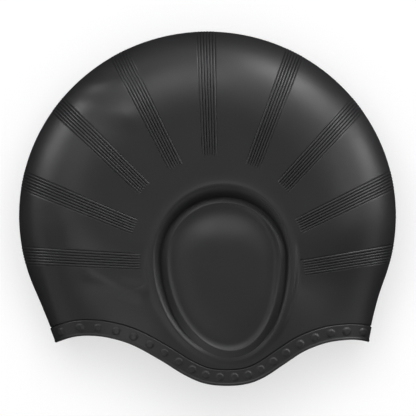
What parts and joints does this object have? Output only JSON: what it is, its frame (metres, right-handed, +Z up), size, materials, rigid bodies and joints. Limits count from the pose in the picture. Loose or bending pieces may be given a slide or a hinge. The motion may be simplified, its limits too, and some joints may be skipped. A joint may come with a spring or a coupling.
{
  "type": "swim cap",
  "caption": "One-piece moulded silicone swim cap for long hair, with an ear pocket on each side, fanned ribs and a studded rim band.",
  "frame": {"origin": "on the surface that the cap lies on, under the middle of its outline", "axes": "+X to the back of the head, +Y to the crown, so the mouth opens towards -Y, and +Z up, out of the wearer's left ear pocket"},
  "size_m": [0.2298, 0.2159, 0.084],
  "materials": {
    "silicone": "satin moulded black silicone"
  },
  "bodies": {
    "root": {"cap": "silicone"}
  },
  "joints": []
}
